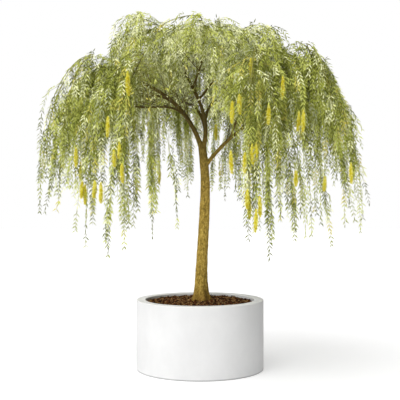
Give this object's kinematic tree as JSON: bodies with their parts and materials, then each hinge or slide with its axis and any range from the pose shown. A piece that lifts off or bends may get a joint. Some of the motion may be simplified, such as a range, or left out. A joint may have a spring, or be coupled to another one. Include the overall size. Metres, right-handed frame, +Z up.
{
  "type": "potted weeping willow tree",
  "caption": "Weeping willow with an umbrella of hanging leafy strands and yellow catkins, on one slender trunk in a low round white planter filled with bark mulch.",
  "frame": {"origin": "centre of the planter's flat underside", "axes": "+Z up along the planter's axis, -Y towards the side that the picture shows, +X to that side's right"},
  "size_m": [2.6492, 2.4639, 2.7912],
  "materials": {
    "pot_white": "matte",
    "soil_mulch": "matte",
    "bark": "matte",
    "leaves": "matte"
  },
  "bodies": {
    "root": {"bough_back_left": "bark", "bough_back_right": "bark", "bough_centre": "bark", "bough_left": "bark", "bough_left_back": "bark", "bough_left_low": "bark", "bough_right": "bark", "bough_right_back": "bark", "bough_right_front": "bark", "bough_top_back": "bark", "bough_top_front": "bark", "bough_top_right": "bark", "foliage_back_left": "leaves", "foliage_back_right": "leaves", "foliage_front_left": "leaves", "foliage_front_right": "leaves", "foliage_left_back": "leaves", "foliage_left_front": "leaves", "foliage_right_back": "leaves", "foliage_right_front": "leaves", "foliage_top_back": "leaves", "foliage_top_front": "leaves", "foliage_top_left": "leaves", "foliage_top_right": "leaves", "pot": "pot_white", "soil": "soil_mulch", "trunk": "bark"}
  },
  "joints": []
}
